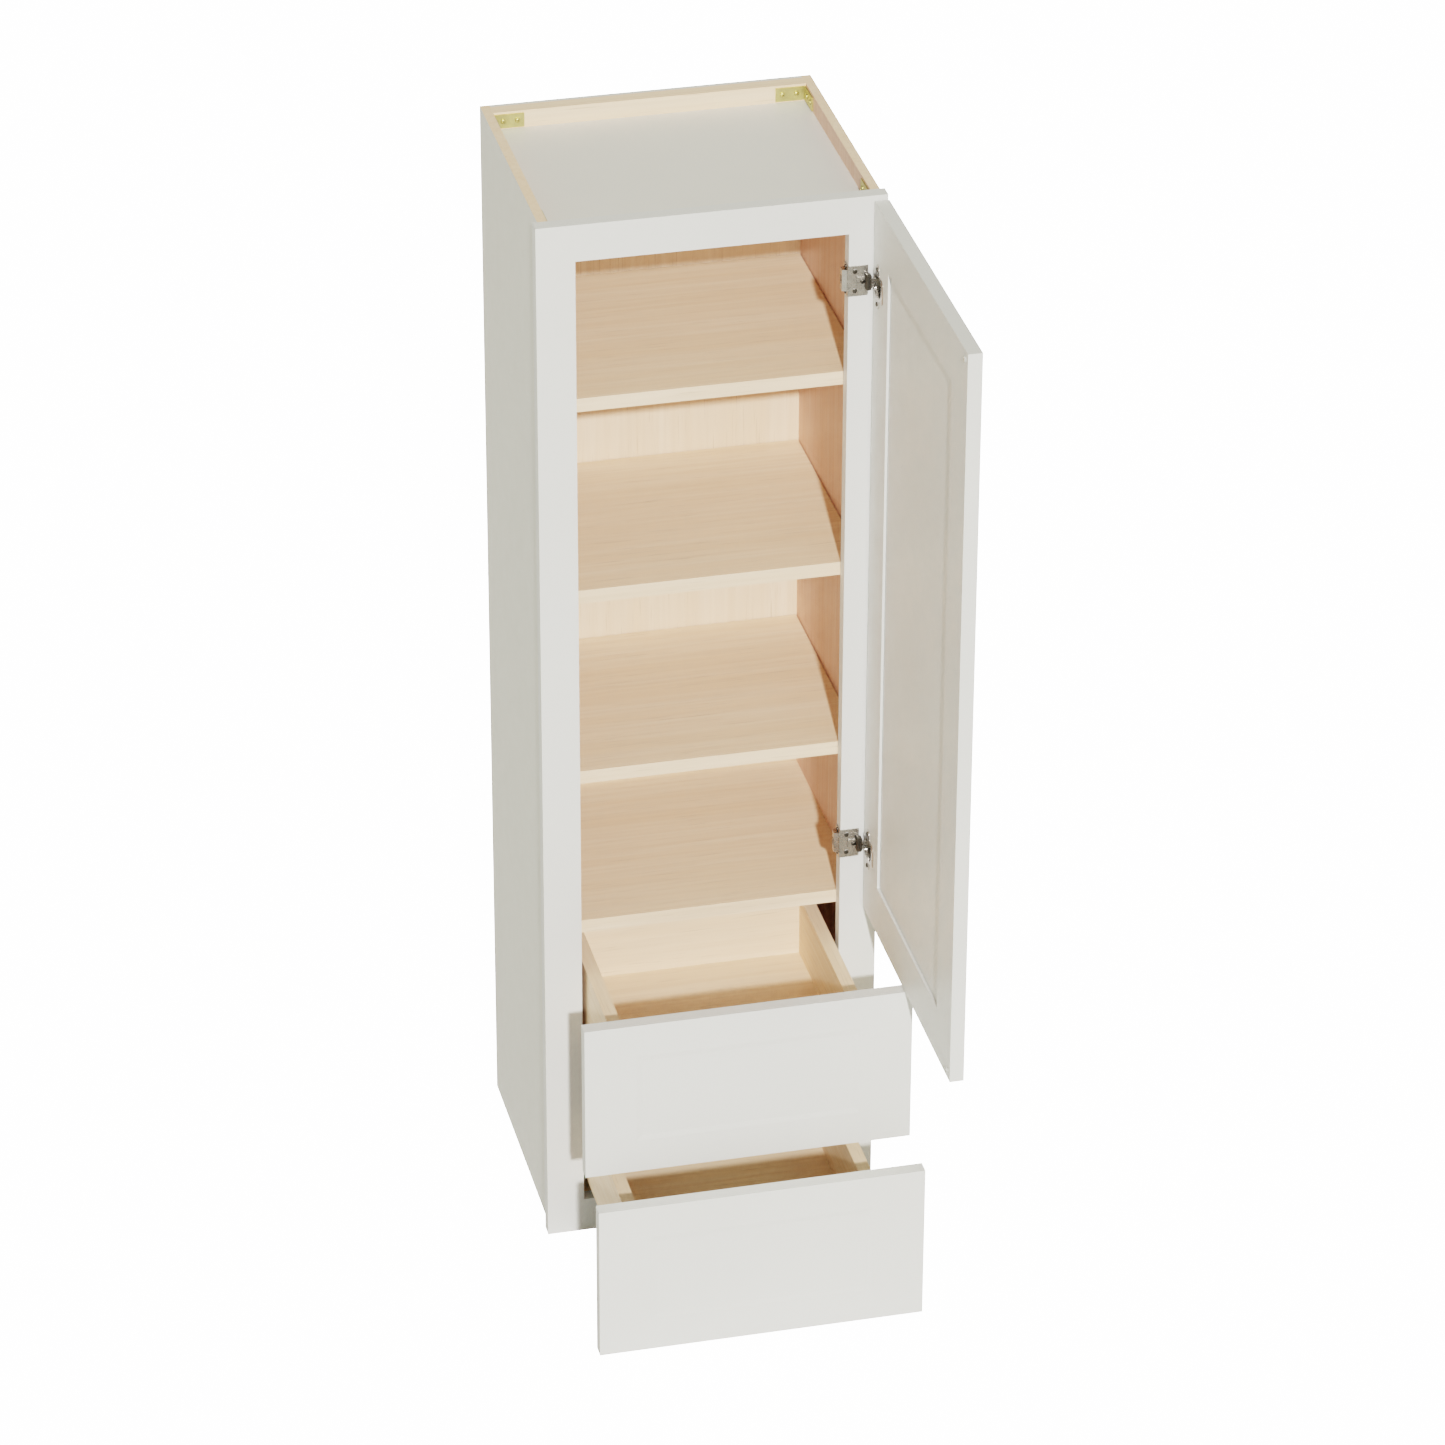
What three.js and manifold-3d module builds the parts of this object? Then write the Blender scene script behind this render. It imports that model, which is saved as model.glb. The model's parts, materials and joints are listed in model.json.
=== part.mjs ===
// Wall pantry cabinet with a face frame, one door over three adjustable shelves, and two drawers.
// Millimetres. X is to the right, Y runs from the room to the wall, Z is up.
// The origin is under the face frame: middle of the width, middle of the frame's thickness, bottom.
// Depths below are measured from the front of the face frame, and add() moves them to that origin.
// The door stands open at a right angle and both drawers are pulled out, which is the rest position.

import * as THREE from "three";
import { mergeVertices } from "three/addons/utils/BufferGeometryUtils.js";
import Module from "manifold-3d";

const wasm = await Module();
wasm.setup();

// ---------------------------------------------------------------- driving dimensions

const INCH = 25.4;

const WIDTH = 18 * INCH;
const HEIGHT = 60 * INCH;
const DEPTH = 15 * INCH;

const FRAME_THICKNESS = 0.75 * INCH;
const STILE_WIDTH = 2 * INCH;
const RAIL_HEIGHT = 2 * INCH;
const FRAME_OVERHANG = 0.25 * INCH;

const SIDE_THICKNESS = 0.5 * INCH;
const BACK_THICKNESS = 0.25 * INCH;
const TOP_THICKNESS = 0.5 * INCH;
const TOP_RECESS = 0.95 * INCH;
const HANGING_RAIL_HEIGHT = 3 * INCH;
const HANGING_RAIL_THICKNESS = 0.75 * INCH;

const SHELF_THICKNESS = 0.75 * INCH;
const SHELF_SIDE_PLAY = 1.25;
const SHELF_FRONT_GAP = 2.5;
const SHELF_BACK_GAP = 2;
const DECK_TOP = 19.2 * INCH;
const SHELF_TOPS = { lower: 28.25 * INCH, middle: 38.95 * INCH, upper: 49.95 * INCH };

// Doors and drawer fronts lie over the frame, a bumper's thickness ahead of it.
const BUMPER_GAP = 3.2;
const FRONT_THICKNESS = 0.75 * INCH;
const FRONT_WIDTH = 17.5 * INCH;
const DOOR_BOTTOM = 18.5 * INCH;
const DOOR_TOP = 59.75 * INCH;
const DOOR_FRAME_WIDTH = 2.75 * INCH;
const DOOR_PANEL_THICKNESS = 0.25 * INCH;
const DOOR_BACK_RECESS = 4;
const DOOR_PANEL_TONGUE = 8;

// The door turns about an axis inside its own hinge stile, given from the stile's edge and inner face.
const PIVOT_FROM_EDGE = 6;
const PIVOT_FROM_FACE = 6.2;
const HINGE_HEIGHTS = { upper: 55.4 * INCH, lower: 22.5 * INCH };

const DRAWER_FRONT_HEIGHT = 9 * INCH;
const DRAWERS = {
  lower: { frontBottom: 0.25 * INCH, pull: 11.0 * INCH },
  upper: { frontBottom: 9.375 * INCH, pull: 7.8 * INCH },
};
const DRAWER_STILE = 2.75 * INCH;
const DRAWER_RAIL = 1.9 * INCH;
const DRAWER_FRONT_RECESS = 1;
const DRAWER_RECESS_SLOPE = 8;
const BOX_WIDTH = 13.5 * INCH;
const BOX_LENGTH = 13.45 * INCH;
const BOX_SIDE_THICKNESS = 18;
const BOX_SIDE_HEIGHT = 4.25 * INCH;
const BOX_TOP_BELOW_FRONT = 1.95 * INCH;
const BOX_FLOOR_THICKNESS = 6.35;
const BOX_FLOOR_RAISE = 12.7;

// ---------------------------------------------------------------- derived places

const HALF_WIDTH = WIDTH / 2;
const SIDE_OUTER = HALF_WIDTH - FRAME_OVERHANG;
const SIDE_INNER = SIDE_OUTER - SIDE_THICKNESS;
const OPENING_HALF = HALF_WIDTH - STILE_WIDTH;
const BACK_FRONT = DEPTH - BACK_THICKNESS;
const RAIL_FRONT = BACK_FRONT - HANGING_RAIL_THICKNESS;
const TOP_PANEL_TOP = HEIGHT - TOP_RECESS;
const BOTTOM_PANEL_BOTTOM = RAIL_HEIGHT - TOP_THICKNESS;

// Where the open door stands: its inner face, and its edge beside the frame.
const PIVOT_X = FRONT_WIDTH / 2 - PIVOT_FROM_EDGE;
const PIVOT_Y = -BUMPER_GAP - PIVOT_FROM_FACE;
const OPEN_DOOR_FACE_X = PIVOT_X - PIVOT_FROM_FACE;
const OPEN_DOOR_EDGE_Y = PIVOT_Y + PIVOT_FROM_EDGE;

// ---------------------------------------------------------------- colours

const PAINT = { color: 0xdededa, roughness: 0.45, metalness: 0 };
const PAINTED_SIDE = { color: 0xd6d2c6, roughness: 0.5, metalness: 0 };
const MAPLE = { color: 0xe0c9a8, roughness: 0.55, metalness: 0 };
const ZINC_YELLOW = { color: 0xcdc873, roughness: 0.35, metalness: 0.8 };
const NICKEL = { color: 0x9a948c, roughness: 0.3, metalness: 1 };
const STEEL = { color: 0xb4b6b8, roughness: 0.35, metalness: 1 };
const CLEAR_RUBBER = { color: 0xdcdcd4, roughness: 0.4, metalness: 0 };

// ---------------------------------------------------------------- helpers

const cabinet = new THREE.Group();

function add(name, geometry, look) {
  geometry.translate(0, -FRAME_THICKNESS / 2, 0);
  const mesh = new THREE.Mesh(geometry, new THREE.MeshStandardMaterial(look));
  mesh.name = name;
  cabinet.add(mesh);
}

// A block between two corners. Every vertex lies exactly on the planes given, so neighbours meet.
function box(x0, x1, y0, y1, z0, z1) {
  const limits = [[x0, x1], [y0, y1], [z0, z1]];
  const geometry = new THREE.BoxGeometry(1, 1, 1);
  const position = geometry.getAttribute("position");
  for (let i = 0; i < position.count; i += 1) {
    for (let axis = 0; axis < 3; axis += 1) {
      const isHigh = position.getComponent(i, axis) > 0;
      const pick = isHigh ? Math.max : Math.min;
      position.setComponent(i, axis, pick(...limits[axis]));
    }
  }
  return geometry;
}

function cylinder(radius, length, axis, x, y, z, sides = 16) {
  const geometry = new THREE.CylinderGeometry(radius, radius, length, sides);
  if (axis === "x") geometry.rotateZ(Math.PI / 2);
  if (axis === "z") geometry.rotateX(Math.PI / 2);
  return geometry.translate(x, y, z);
}

// A flat outline in X and Y, given as points, raised from z0 to z1.
function plate(points, z0, z1) {
  const outline = new THREE.Shape(points.map(([x, y]) => new THREE.Vector2(x, y)));
  const geometry = new THREE.ExtrudeGeometry(outline, { depth: z1 - z0, bevelEnabled: false });
  return geometry.translate(0, 0, z0);
}

function toSolid(geometry) {
  const bare = geometry.clone();
  bare.deleteAttribute("normal");
  bare.deleteAttribute("uv");
  const merged = mergeVertices(bare, 1e-4);
  return new wasm.Manifold(
    new wasm.Mesh({
      numProp: 3,
      vertProperties: merged.attributes.position.array,
      triVerts: new Uint32Array(merged.index.array),
    }),
  );
}

function toGeometry(solid) {
  const mesh = solid.getMesh();
  const geometry = new THREE.BufferGeometry();
  geometry.setAttribute("position", new THREE.BufferAttribute(new Float32Array(mesh.vertProperties), 3));
  geometry.setIndex(new THREE.BufferAttribute(new Uint32Array(mesh.triVerts), 1));
  geometry.computeVertexNormals();
  return geometry;
}

// Joins every piece in keep and takes every piece in cut out of the result.
function carve(keep, cut = []) {
  let solid = toSolid(keep[0]);
  for (const piece of keep.slice(1)) solid = solid.add(toSolid(piece));
  for (const piece of cut) solid = solid.subtract(toSolid(piece));
  return toGeometry(solid);
}

// A block that cuts a flat recess with sloping sides into a face that looks forward.
function shallowRecess(x0, x1, face, z0, z1) {
  const layer = (y, grow) => [
    [x0 - grow, y, z0 - grow],
    [x1 + grow, y, z0 - grow],
    [x1 + grow, y, z1 + grow],
    [x0 - grow, y, z1 + grow],
  ];
  const widening = DRAWER_RECESS_SLOPE / DRAWER_FRONT_RECESS;
  const mouth = layer(face - PAST, PAST * widening);
  const floor = layer(face + DRAWER_FRONT_RECESS, -DRAWER_RECESS_SLOPE);
  return toGeometry(wasm.Manifold.hull([...mouth, ...floor]));
}

// ---------------------------------------------------------------- carcass

function addCarcass() {
  for (const [side, sign] of [["left", -1], ["right", 1]]) {
    add(
      `${side}_side_panel`,
      box(sign * SIDE_INNER, sign * SIDE_OUTER, FRAME_THICKNESS, DEPTH, 0, HEIGHT),
      PAINTED_SIDE,
    );
  }
  const top = [TOP_PANEL_TOP - TOP_THICKNESS, TOP_PANEL_TOP];
  const bottom = [BOTTOM_PANEL_BOTTOM, BOTTOM_PANEL_BOTTOM + TOP_THICKNESS];
  add("top_panel", box(-SIDE_INNER, SIDE_INNER, FRAME_THICKNESS, RAIL_FRONT, ...top), PAINTED_SIDE);
  add("bottom_panel", box(-SIDE_INNER, SIDE_INNER, FRAME_THICKNESS, BACK_FRONT, ...bottom), MAPLE);
  add("back_panel", box(-SIDE_INNER, SIDE_INNER, BACK_FRONT, DEPTH, 0, HEIGHT), MAPLE);
  add(
    "top_hanging_rail",
    box(-SIDE_INNER, SIDE_INNER, RAIL_FRONT, BACK_FRONT, HEIGHT - HANGING_RAIL_HEIGHT, HEIGHT),
    MAPLE,
  );
  add(
    "bottom_hanging_rail",
    box(-SIDE_INNER, SIDE_INNER, RAIL_FRONT, BACK_FRONT, 0, BOTTOM_PANEL_BOTTOM),
    MAPLE,
  );
}

function addFaceFrame() {
  for (const [side, sign] of [["left", -1], ["right", 1]]) {
    add(
      `frame_${side}_stile`,
      box(sign * OPENING_HALF, sign * HALF_WIDTH, 0, FRAME_THICKNESS, 0, HEIGHT),
      PAINT,
    );
  }
  const rails = { top: [HEIGHT - RAIL_HEIGHT, HEIGHT], bottom: [0, RAIL_HEIGHT] };
  for (const [place, heights] of Object.entries(rails)) {
    add(`frame_${place}_rail`, box(-OPENING_HALF, OPENING_HALF, 0, FRAME_THICKNESS, ...heights), PAINT);
  }
}

function addShelves() {
  const deck = [DECK_TOP - SHELF_THICKNESS, DECK_TOP];
  add("fixed_deck", box(-SIDE_INNER, SIDE_INNER, FRAME_THICKNESS, BACK_FRONT, ...deck), MAPLE);
  const half = SIDE_INNER - SHELF_SIDE_PLAY;
  const front = FRAME_THICKNESS + SHELF_FRONT_GAP;
  const back = BACK_FRONT - SHELF_BACK_GAP;
  for (const [place, top] of Object.entries(SHELF_TOPS)) {
    add(`${place}_shelf`, box(-half, half, front, back, top - SHELF_THICKNESS, top), MAPLE);
  }
}

// Angle braces that lie in the four corners above the top panel, each one screwed to two walls.
function addCornerBraces() {
  const LEG = 41;
  const SHEET = 2;
  const TALL = 19;
  const HOLE_RADIUS = 2.4;
  const HOLES = [13, 32];
  const LIFT = 2;
  const bottom = TOP_PANEL_TOP + LIFT;
  const middle = bottom + TALL / 2;
  for (const [end, wallY, inward] of [["back", RAIL_FRONT, -1], ["front", FRAME_THICKNESS, 1]]) {
    for (const [side, sign] of [["left", -1], ["right", 1]]) {
      const wallX = sign * SIDE_INNER;
      const leg = (reachX, reachY) =>
        box(wallX, wallX - sign * reachX, wallY, wallY + inward * reachY, bottom, bottom + TALL);
      const holes = HOLES.flatMap((away) => [
        cylinder(HOLE_RADIUS, 4 * SHEET, "y", wallX - sign * away, wallY, middle),
        cylinder(HOLE_RADIUS, 4 * SHEET, "x", wallX, wallY + inward * away, middle),
      ]);
      add(`${end}_${side}_corner_brace`, carve([leg(LEG, SHEET), leg(SHEET, LEG)], holes), ZINC_YELLOW);
    }
  }
}

// ---------------------------------------------------------------- door

// A block of the open door: u from its hinge edge, w from its inner face, z up.
function doorBox(u0, u1, w0, w1, z0, z1) {
  return box(
    OPEN_DOOR_FACE_X + w0,
    OPEN_DOOR_FACE_X + w1,
    OPEN_DOOR_EDGE_Y - u0,
    OPEN_DOOR_EDGE_Y - u1,
    z0,
    z1,
  );
}

// The cup lies in a pocket of the hinge stile. Distances are from the stile's edge and inner face.
const CUP = { near: 2.4, far: 38, half: 16, depth: 12, wall: 0.7, sideWall: 2, play: 0.3 };
const CUP_FLANGE = { near: 1, far: 42, half: 26, proud: 0.8 };
const CUP_SCREW = { height: 21, radius: 2.3 };
const HINGE_PIN = { radius: 1.3, hole: 1.6, end: 0.6 };
// How far a cutting block runs past the surface it opens.
const PAST = 1;

// Grooves for the flat panel run through the rails and stop short of the ends of the stiles.
function addDoorFrame() {
  const PLAY = 0.4;
  const tongue = DOOR_PANEL_TONGUE;
  const panelFace = DOOR_BACK_RECESS;
  const panelBack = DOOR_BACK_RECESS + DOOR_PANEL_THICKNESS;
  const inner = { near: DOOR_FRAME_WIDTH, far: FRONT_WIDTH - DOOR_FRAME_WIDTH };
  const panelBottom = DOOR_BOTTOM + DOOR_FRAME_WIDTH - tongue;
  const panelTop = DOOR_TOP - DOOR_FRAME_WIDTH + tongue;
  const reach = tongue + PLAY;
  const groove = (u0, u1, z0, z1) => doorBox(u0, u1, panelFace - PLAY, panelBack + PLAY, z0, z1);

  const pockets = Object.values(HINGE_HEIGHTS).map((height) =>
    doorBox(
      CUP.near - CUP.play,
      CUP.far + CUP.play,
      -PAST,
      CUP.depth + CUP.play,
      height - CUP.half - CUP.play,
      height + CUP.half + CUP.play,
    ),
  );
  const hingeStile = doorBox(0, inner.near, 0, FRONT_THICKNESS, DOOR_BOTTOM, DOOR_TOP);
  const hingeGroove = groove(inner.near - reach, inner.near + PAST, panelBottom, panelTop);
  add("door_hinge_stile", carve([hingeStile], [hingeGroove, ...pockets]), PAINT);

  const freeStile = doorBox(inner.far, FRONT_WIDTH, 0, FRONT_THICKNESS, DOOR_BOTTOM, DOOR_TOP);
  const freeGroove = groove(inner.far - PAST, inner.far + reach, panelBottom, panelTop);
  add("door_free_stile", carve([freeStile], [freeGroove]), PAINT);

  const rails = { top: DOOR_TOP - DOOR_FRAME_WIDTH, bottom: DOOR_BOTTOM };
  for (const [name, start] of Object.entries(rails)) {
    const rail = doorBox(inner.near, inner.far, 0, FRONT_THICKNESS, start, start + DOOR_FRAME_WIDTH);
    const mouth = name === "top" ? start : start + DOOR_FRAME_WIDTH;
    const railGroove = groove(inner.near - PAST, inner.far + PAST, mouth - reach, mouth + reach);
    add(`door_${name}_rail`, carve([rail], [railGroove]), PAINT);
  }

  add(
    "door_panel",
    doorBox(
      inner.near - tongue + PLAY,
      inner.far + tongue - PLAY,
      panelFace,
      panelBack,
      panelBottom + PLAY,
      panelTop - PLAY,
    ),
    PAINT,
  );
}

// Soft pads on the free corners that meet the frame when the door shuts.
function addDoorBumpers() {
  const RADIUS = 4;
  const HEIGHT_PROUD = 2;
  const INSET = 12;
  const x = OPEN_DOOR_FACE_X - HEIGHT_PROUD / 2;
  const y = OPEN_DOOR_EDGE_Y - FRONT_WIDTH + INSET;
  for (const [name, z] of [["top", DOOR_TOP - INSET], ["bottom", DOOR_BOTTOM + INSET]]) {
    add(`door_${name}_bumper`, cylinder(RADIUS, HEIGHT_PROUD, "x", x, y, z), CLEAR_RUBBER);
  }
}

// ---------------------------------------------------------------- hinges

// The fixed half wraps round the inner edge of the stile: a leaf on the edge with a raised, slotted
// middle, and a leaf on the front with two screw slots.
const HINGE_BASE = { sheet: 1.8, half: 21, edgeDepth: 17.5, frontReach: 25 };
const HINGE_BOSS = { rise: 6, half: 15, foot: [1.5, 16], crown: [4, 13], root: 0.5 };
const BOSS_SLOT = { near: 6, far: 11, half: 6 };
const LEAF_SLOT = { near: 6, far: 10, low: 10, high: 17 };

function hingeBase(height) {
  const low = height - HINGE_BASE.half;
  const high = height + HINGE_BASE.half;
  const edge = OPENING_HALF - HINGE_BASE.sheet;
  const edgeLeaf = box(edge, OPENING_HALF, -HINGE_BASE.sheet, HINGE_BASE.edgeDepth, low, high);
  const frontLeaf = box(edge, OPENING_HALF + HINGE_BASE.frontReach, -HINGE_BASE.sheet, 0, low, high);
  const outline = [
    [edge + HINGE_BOSS.root, HINGE_BOSS.foot[0]],
    [edge + HINGE_BOSS.root, HINGE_BOSS.foot[1]],
    [edge - HINGE_BOSS.rise, HINGE_BOSS.crown[1]],
    [edge - HINGE_BOSS.rise, HINGE_BOSS.crown[0]],
  ];
  const boss = plate(outline, height - HINGE_BOSS.half, height + HINGE_BOSS.half);
  const bossSlot = box(
    edge - HINGE_BOSS.rise - PAST,
    OPENING_HALF + PAST,
    BOSS_SLOT.near,
    BOSS_SLOT.far,
    height - BOSS_SLOT.half,
    height + BOSS_SLOT.half,
  );
  const leafSlots = [-1, 1].map((sign) =>
    box(
      OPENING_HALF + LEAF_SLOT.near,
      OPENING_HALF + LEAF_SLOT.far,
      -HINGE_BASE.sheet - PAST,
      PAST,
      height + sign * LEAF_SLOT.low,
      height + sign * LEAF_SLOT.high,
    ),
  );
  return carve([edgeLeaf, frontLeaf, boss], [bossSlot, ...leafSlots]);
}

// The strip lies on the front leaf, bends down into the cup and ends in the eye round the pin.
// The outline gives each corner's distance from the pin, across and towards the wall.
const HINGE_ARM = { half: 6, eye: 2.4, sides: 20, adjusterFromPin: 21.25, adjusterRadius: 2.2 };
const ARM_OUTLINE = [
  [-28.25, 7.3],
  [-11.75, 7.3],
  [-9.75, 0.1],
  [-1, -0.6],
  [0, -2.4],
  [-11.05, -2.6],
  [-13.85, 5.1],
  [-28.25, 5.1],
];

function hingeArm(height) {
  const { half, eye, sides } = HINGE_ARM;
  const corners = ARM_OUTLINE.map(([across, toWall]) => [PIVOT_X + across, PIVOT_Y + toWall]);
  const strip = plate(corners, height - half, height + half);
  const ring = cylinder(eye, 2 * half, "z", PIVOT_X, PIVOT_Y, height, sides);
  const bore = cylinder(HINGE_PIN.hole, 4 * half, "z", PIVOT_X, PIVOT_Y, height, sides);
  const adjusterX = PIVOT_X - HINGE_ARM.adjusterFromPin;
  const adjuster = cylinder(HINGE_ARM.adjusterRadius, 4 * half, "y", adjusterX, PIVOT_Y, height);
  return carve([strip, ring], [bore, adjuster]);
}

function hingeCup(height) {
  const flange = doorBox(
    CUP_FLANGE.near,
    CUP_FLANGE.far,
    -CUP_FLANGE.proud,
    0,
    height - CUP_FLANGE.half,
    height + CUP_FLANGE.half,
  );
  const shell = doorBox(
    CUP.near,
    CUP.far,
    -CUP_FLANGE.proud / 2,
    CUP.depth,
    height - CUP.half,
    height + CUP.half,
  );
  const hollow = doorBox(
    CUP.near + CUP.wall,
    CUP.far - CUP.wall,
    -CUP_FLANGE.proud - PAST,
    CUP.depth - CUP.wall,
    height - CUP.half + CUP.sideWall,
    height + CUP.half - CUP.sideWall,
  );
  const boreLength = 2 * (CUP.half - HINGE_PIN.end);
  const bore = cylinder(HINGE_PIN.hole, boreLength, "z", PIVOT_X, PIVOT_Y, height);
  const screwY = OPEN_DOOR_EDGE_Y - (CUP.near + CUP.far) / 2;
  const screwHoles = [-1, 1].map((sign) =>
    cylinder(CUP_SCREW.radius, 4 * PAST, "x", OPEN_DOOR_FACE_X, screwY, height + sign * CUP_SCREW.height),
  );
  return carve([flange, shell], [hollow, bore, ...screwHoles]);
}

function addHinges() {
  const pinLength = 2 * (CUP.half - HINGE_PIN.end - CUP.play);
  for (const [place, height] of Object.entries(HINGE_HEIGHTS)) {
    add(`${place}_hinge_base`, hingeBase(height), NICKEL);
    add(`${place}_hinge_arm`, hingeArm(height), NICKEL);
    add(`${place}_hinge_cup`, hingeCup(height), NICKEL);
    const pin = cylinder(HINGE_PIN.radius, pinLength, "z", PIVOT_X, PIVOT_Y, height);
    add(`${place}_hinge_pin`, pin, STEEL);
  }
}

// ---------------------------------------------------------------- drawers

// Everything in a drawer moves forward together by its pull from the closed place.
function addDrawer(place, { frontBottom, pull }) {
  const frontTop = frontBottom + DRAWER_FRONT_HEIGHT;
  const frontBack = -BUMPER_GAP - pull;
  const frontFace = frontBack - FRONT_THICKNESS;
  const halfFront = FRONT_WIDTH / 2;
  const slab = box(-halfFront, halfFront, frontFace, frontBack, frontBottom, frontTop);
  const recess = shallowRecess(
    -halfFront + DRAWER_STILE,
    halfFront - DRAWER_STILE,
    frontFace,
    frontBottom + DRAWER_RAIL,
    frontTop - DRAWER_RAIL,
  );
  add(`${place}_drawer_front`, carve([slab], [recess]), PAINT);

  const boxTop = frontTop - BOX_TOP_BELOW_FRONT;
  const boxBottom = boxTop - BOX_SIDE_HEIGHT;
  const boxBack = frontBack + BOX_LENGTH;
  const half = BOX_WIDTH / 2;
  const inside = half - BOX_SIDE_THICKNESS;
  for (const [side, sign] of [["left", -1], ["right", 1]]) {
    add(
      `${place}_drawer_${side}_side`,
      box(sign * inside, sign * half, frontBack, boxBack, boxBottom, boxTop),
      MAPLE,
    );
  }
  const floor = boxBottom + BOX_FLOOR_RAISE;
  const frontInside = frontBack + BOX_SIDE_THICKNESS;
  const backInside = boxBack - BOX_SIDE_THICKNESS;
  add(
    `${place}_drawer_box_front`,
    box(-inside, inside, frontBack, frontInside, boxBottom, boxTop),
    MAPLE,
  );
  add(`${place}_drawer_back`, box(-inside, inside, backInside, boxBack, floor, boxTop), MAPLE);
  add(
    `${place}_drawer_floor`,
    box(-inside, inside, frontInside, backInside, floor, floor + BOX_FLOOR_THICKNESS),
    MAPLE,
  );
  addSlides(place, pull, floor, frontInside);
}

// Undermount runners: a rail fixed to the frame and the back, a middle that travels half as far as the
// drawer, and a member under the drawer floor. Distances across are from the middle of the cabinet,
// heights from the underside of the drawer floor.
const SLIDE_SHEET = 1.5;
const SLIDE_RAIL = { inner: 122, outer: 176, bottom: -19, wallInner: 127, wallOuter: 150, wallTop: -9 };
const RAIL_WALL_SETBACK = 20;
const RAIL_TAB = { inner: 174.5, outer: 204, top: 6, backTop: 24 };
const SLIDE_MIDDLE = { length: 300, setback: 8, inner: 131, outer: 146, bottom: -16 };
const MIDDLE_STEM = { inner: 136, outer: 141, top: -4 };
const SLIDE_MEMBER = { length: 290, inner: 123.5, outer: 153, bottom: -8 };

function addSlides(place, pull, floor, memberFront) {
  const sheet = SLIDE_SHEET;
  const railFront = FRAME_THICKNESS;
  const middleFront = railFront + SLIDE_MIDDLE.setback - pull / 2;
  const middleBack = middleFront + SLIDE_MIDDLE.length;
  const memberBack = memberFront + SLIDE_MEMBER.length;

  for (const [side, sign] of [["left", -1], ["right", 1]]) {
    const bar = (a, b, y0, y1, z0, z1) => box(sign * a, sign * b, y0, y1, floor + z0, floor + z1);

    const rail = SLIDE_RAIL;
    const wall = (from) =>
      bar(
        from,
        from + sheet,
        railFront + RAIL_WALL_SETBACK,
        BACK_FRONT - RAIL_WALL_SETBACK,
        rail.bottom + sheet / 2,
        rail.wallTop,
      );
    const railPieces = [
      bar(rail.inner, rail.outer, railFront, BACK_FRONT, rail.bottom, rail.bottom + sheet),
      wall(rail.wallInner),
      wall(rail.wallOuter - sheet),
      bar(RAIL_TAB.inner, RAIL_TAB.outer, railFront, railFront + sheet, rail.bottom, RAIL_TAB.top),
      bar(rail.inner, rail.outer, BACK_FRONT - sheet, BACK_FRONT, rail.bottom, RAIL_TAB.backTop),
    ];
    add(`${place}_${side}_slide_rail`, carve(railPieces), STEEL);

    const middle = SLIDE_MIDDLE;
    const stem = MIDDLE_STEM;
    const middlePieces = [
      bar(middle.inner, middle.outer, middleFront, middleBack, middle.bottom, middle.bottom + sheet),
      bar(stem.inner, stem.outer, middleFront, middleBack, middle.bottom + sheet / 2, stem.top),
    ];
    add(`${place}_${side}_slide_middle`, carve(middlePieces), STEEL);

    const member = SLIDE_MEMBER;
    const lip = (from) =>
      bar(from, from + sheet, memberFront, memberBack, member.bottom, -sheet / 2);
    const memberPieces = [
      bar(member.inner, member.outer, memberFront, memberBack, -sheet, 0),
      lip(member.inner),
      lip(member.outer - sheet),
    ];
    add(`${place}_${side}_slide_member`, carve(memberPieces), STEEL);
  }
}

addCarcass();
addFaceFrame();
addShelves();
addCornerBraces();
addDoorFrame();
addDoorBumpers();
addHinges();
for (const [place, sizes] of Object.entries(DRAWERS)) addDrawer(place, sizes);

export default cabinet;
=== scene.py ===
"""A tall pantry cabinet, open: one panel door over three shelves, and two drawers pulled out.

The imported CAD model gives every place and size. This script adds the small fittings and all the finishes.
Metres. X is to the right, Y runs from the room to the wall, Z is up.
"""

import json
import math

import bmesh
import bpy
from mathutils import Euler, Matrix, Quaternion, Vector


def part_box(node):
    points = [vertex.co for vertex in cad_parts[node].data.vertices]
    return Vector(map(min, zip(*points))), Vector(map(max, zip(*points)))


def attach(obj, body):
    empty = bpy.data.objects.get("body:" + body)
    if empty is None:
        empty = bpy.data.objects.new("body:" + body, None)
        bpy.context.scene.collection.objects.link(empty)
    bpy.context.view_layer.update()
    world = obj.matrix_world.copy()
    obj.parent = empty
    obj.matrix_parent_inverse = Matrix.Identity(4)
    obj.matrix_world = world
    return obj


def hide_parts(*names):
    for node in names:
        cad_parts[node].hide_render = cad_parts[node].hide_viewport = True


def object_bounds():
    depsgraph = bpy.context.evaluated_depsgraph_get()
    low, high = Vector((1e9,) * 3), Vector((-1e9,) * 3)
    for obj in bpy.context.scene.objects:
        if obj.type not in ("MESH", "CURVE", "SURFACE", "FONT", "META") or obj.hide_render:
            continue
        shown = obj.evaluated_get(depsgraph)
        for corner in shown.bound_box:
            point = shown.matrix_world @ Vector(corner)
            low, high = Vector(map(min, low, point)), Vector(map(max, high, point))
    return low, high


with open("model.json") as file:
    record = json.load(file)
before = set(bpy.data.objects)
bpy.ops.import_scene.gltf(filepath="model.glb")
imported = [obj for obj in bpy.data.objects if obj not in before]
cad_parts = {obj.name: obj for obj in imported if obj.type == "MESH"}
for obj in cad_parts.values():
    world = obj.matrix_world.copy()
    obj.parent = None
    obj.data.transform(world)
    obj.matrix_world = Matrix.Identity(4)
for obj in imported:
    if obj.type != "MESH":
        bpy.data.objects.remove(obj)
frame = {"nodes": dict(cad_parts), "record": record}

CAD_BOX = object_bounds()
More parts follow.
